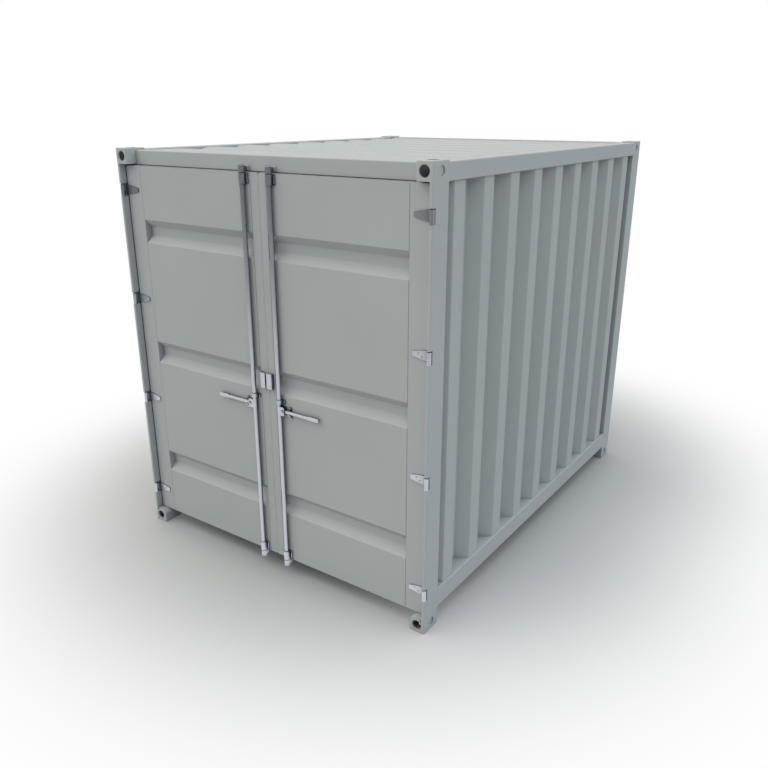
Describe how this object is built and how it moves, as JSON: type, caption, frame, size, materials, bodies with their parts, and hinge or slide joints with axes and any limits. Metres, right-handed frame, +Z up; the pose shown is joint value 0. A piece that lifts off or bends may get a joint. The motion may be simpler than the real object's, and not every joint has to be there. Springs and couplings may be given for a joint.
{
  "type": "shipping container",
  "caption": "Short steel storage container with ribbed walls, double doors that fold back, lock bars with lifting handles, and a plywood floor.",
  "frame": {"origin": "middle of the footprint, on the ground under the corner castings", "axes": "+Z up, doors face -Y, +X to the right of someone facing the doors"},
  "size_m": [2.3, 2.991, 2.591],
  "materials": {
    "painted_steel": "satin light grey paint",
    "galvanised_steel": "galvanised",
    "plywood": "varnished plywood"
  },
  "bodies": {
    "container": {"corner_bottom_front_left": "painted_steel", "corner_bottom_front_right": "painted_steel", "corner_bottom_back_left": "painted_steel", "corner_bottom_back_right": "painted_steel", "corner_top_front_left": "painted_steel", "corner_top_front_right": "painted_steel", "corner_top_back_left": "painted_steel", "corner_top_back_right": "painted_steel", "front_post_left": "painted_steel", "front_post_right": "painted_steel", "door_jamb_left": "painted_steel", "door_jamb_right": "painted_steel", "back_post_left": "painted_steel", "back_post_right": "painted_steel", "top_rail_left": "painted_steel", "top_rail_right": "painted_steel", "bottom_rail_left": "painted_steel", "bottom_rail_right": "painted_steel", "front_header": "painted_steel", "back_header": "painted_steel", "front_sill": "painted_steel", "back_sill": "painted_steel", "left_wall": "painted_steel", "right_wall": "painted_steel", "back_wall": "painted_steel", "roof": "painted_steel", "floor_boards": "plywood", "floor_beams": "painted_steel", "bar_keepers": "painted_steel", "hinge_lugs_left": "galvanised_steel", "hinge_lugs_right": "galvanised_steel"},
    "left_door": {"left_door_frame": "painted_steel", "left_door_panel": "painted_steel", "left_door_hinges": "galvanised_steel", "left_door_bar_guides": "galvanised_steel", "left_door_lock_fittings": "galvanised_steel"},
    "left_bar": {"left_lock_bar": "galvanised_steel"},
    "left_grip": {"left_handle": "galvanised_steel"},
    "right_door": {"right_door_frame": "painted_steel", "right_door_panel": "painted_steel", "right_door_hinges": "galvanised_steel", "right_door_bar_guides": "galvanised_steel", "right_door_lock_fittings": "galvanised_steel"},
    "right_bar": {"right_lock_bar": "galvanised_steel"},
    "right_grip": {"right_handle": "galvanised_steel"}
  },
  "joints": [
    {"name": "left_door_swing", "type": "hinge", "parent": "container", "child": "left_door", "pos_m": [-1.138, -1.483, 1.3], "axis": [0, 0, -1], "range_deg": [0, 265]},
    {"name": "left_bar_turn", "type": "hinge", "parent": "left_door", "child": "left_bar", "pos_m": [-0.1, -1.472, 1.3], "axis": [0, 0, -1], "range_deg": [-100, 0]},
    {"name": "left_handle_lift", "type": "hinge", "parent": "left_bar", "child": "left_grip", "pos_m": [-0.131, -1.472, 1.128], "axis": [0, -1, 0], "range_deg": [-30, 0]},
    {"name": "right_door_swing", "type": "hinge", "parent": "container", "child": "right_door", "pos_m": [1.138, -1.483, 1.3], "axis": [0, 0, 1], "range_deg": [0, 265]},
    {"name": "right_bar_turn", "type": "hinge", "parent": "right_door", "child": "right_bar", "pos_m": [0.1, -1.472, 1.3], "axis": [0, 0, 1], "range_deg": [-100, 0]},
    {"name": "right_handle_lift", "type": "hinge", "parent": "right_bar", "child": "right_grip", "pos_m": [0.131, -1.472, 1.128], "axis": [0, 1, 0], "range_deg": [-30, 0]}
  ]
}
